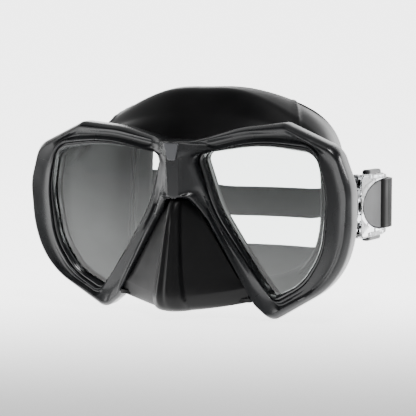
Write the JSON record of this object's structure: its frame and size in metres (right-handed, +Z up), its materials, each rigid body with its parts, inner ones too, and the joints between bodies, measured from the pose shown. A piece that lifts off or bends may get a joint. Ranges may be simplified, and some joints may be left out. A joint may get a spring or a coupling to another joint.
{
  "type": "diving mask",
  "caption": "Diving mask with flat glass lenses in a rigid frame, a silicone skirt with a nose pocket, swivel buckles with pinch release and a split rear strap.",
  "frame": {"origin": "middle of the face opening, on the mirror plane at the height of the swivel pins", "axes": "+X towards the wearer's left, -Y the way the wearer looks, +Z up"},
  "size_m": [0.1836, 0.1329, 0.1175],
  "materials": {
    "frame_plastic": "semi-gloss moulded polycarbonate, black",
    "cap_plastic": "satin moulded insert, dark grey",
    "lens_glass": "clear tempered glass",
    "retainer_plastic": "gloss moulded ring, black",
    "skirt_silicone": "polished silicone, black",
    "lug_plastic": "satin moulded, black",
    "strap_silicone": "satin silicone, dark grey to black",
    "pin_steel": "stainless",
    "spring_steel": "stainless wire",
    "washer_plastic": "natural acetal",
    "buckle_clear": "clear polished polycarbonate",
    "button_plastic": "satin moulded acetal, black",
    "lever_plastic": "ribbed satin acetal, black",
    "roller_plastic": "smooth acetal, black"
  },
  "bodies": {
    "mask": {"frame": "frame_plastic", "bridge_cap": "cap_plastic", "lens_left": "lens_glass", "lens_right": "lens_glass", "lens_retainer_left": "retainer_plastic", "lens_retainer_right": "retainer_plastic", "skirt": "skirt_silicone", "strap_lug_left": "lug_plastic", "strap_lug_right": "lug_plastic", "swivel_pin_left": "pin_steel", "swivel_pin_right": "pin_steel", "swivel_washer_left": "washer_plastic", "swivel_washer_right": "washer_plastic"},
    "strap_set": {"strap": "strap_silicone", "buckle_body_left": "buckle_clear", "roller_pin_left": "pin_steel", "lever_pin_left": "pin_steel", "lever_spring_left": "spring_steel", "buckle_body_right": "buckle_clear", "roller_pin_right": "pin_steel", "lever_pin_right": "pin_steel", "lever_spring_right": "spring_steel"},
    "roller_left": {"strap_roller_left": "roller_plastic"},
    "lever_left": {"lock_lever_left": "lever_plastic"},
    "button_upper_left": {"release_button_upper_left": "button_plastic"},
    "button_lower_left": {"release_button_lower_left": "button_plastic"},
    "roller_right": {"strap_roller_right": "roller_plastic"},
    "lever_right": {"lock_lever_right": "lever_plastic"},
    "button_upper_right": {"release_button_upper_right": "button_plastic"},
    "button_lower_right": {"release_button_lower_right": "button_plastic"}
  },
  "joints": [
    {"name": "strap_swivel", "type": "hinge", "parent": "mask", "child": "strap_set", "pos_m": [0, -0.033, 0], "axis": [1, 0, 0], "range_deg": [-45, 50]},
    {"name": "roller_spin_left", "type": "hinge", "parent": "strap_set", "child": "roller_left", "pos_m": [0.08251, 0.0095, 0], "axis": [0, 0, 1], "continuous": true},
    {"name": "button_press_left", "type": "slide", "parent": "strap_set", "child": "button_upper_left", "axis": [0, 0, -1], "range_m": [0, 0.0015], "stiffness_N_per_m": 400, "springref_m": -0.001},
    {"name": "button_pinch_left", "type": "slide", "parent": "strap_set", "child": "button_lower_left", "axis": [0, 0, 1], "range_m": [0, 0.0015]},
    {"name": "lever_lift_left", "type": "hinge", "parent": "strap_set", "child": "lever_left", "pos_m": [0.08171, -0.011, 0], "axis": [0, 0, -1], "range_deg": [0, 8.6]},
    {"name": "roller_spin_right", "type": "hinge", "parent": "strap_set", "child": "roller_right", "pos_m": [-0.08251, 0.0095, 0], "axis": [0, 0, 1], "continuous": true},
    {"name": "button_press_right", "type": "slide", "parent": "strap_set", "child": "button_upper_right", "axis": [0, 0, -1], "range_m": [0, 0.0015], "stiffness_N_per_m": 400, "springref_m": -0.001},
    {"name": "button_pinch_right", "type": "slide", "parent": "strap_set", "child": "button_lower_right", "axis": [0, 0, 1], "range_m": [0, 0.0015]},
    {"name": "lever_lift_right", "type": "hinge", "parent": "strap_set", "child": "lever_right", "pos_m": [-0.08171, -0.011, 0], "axis": [0, 0, 1], "range_deg": [0, 8.6]}
  ],
  "couplings": [
    {"joint": "button_pinch_left", "follows": "button_press_left", "ratio": 1},
    {"joint": "lever_lift_left", "follows": "button_press_left", "rad_per_m": 98.902},
    {"joint": "button_pinch_right", "follows": "button_press_right", "ratio": 1},
    {"joint": "lever_lift_right", "follows": "button_press_right", "rad_per_m": 98.902}
  ]
}
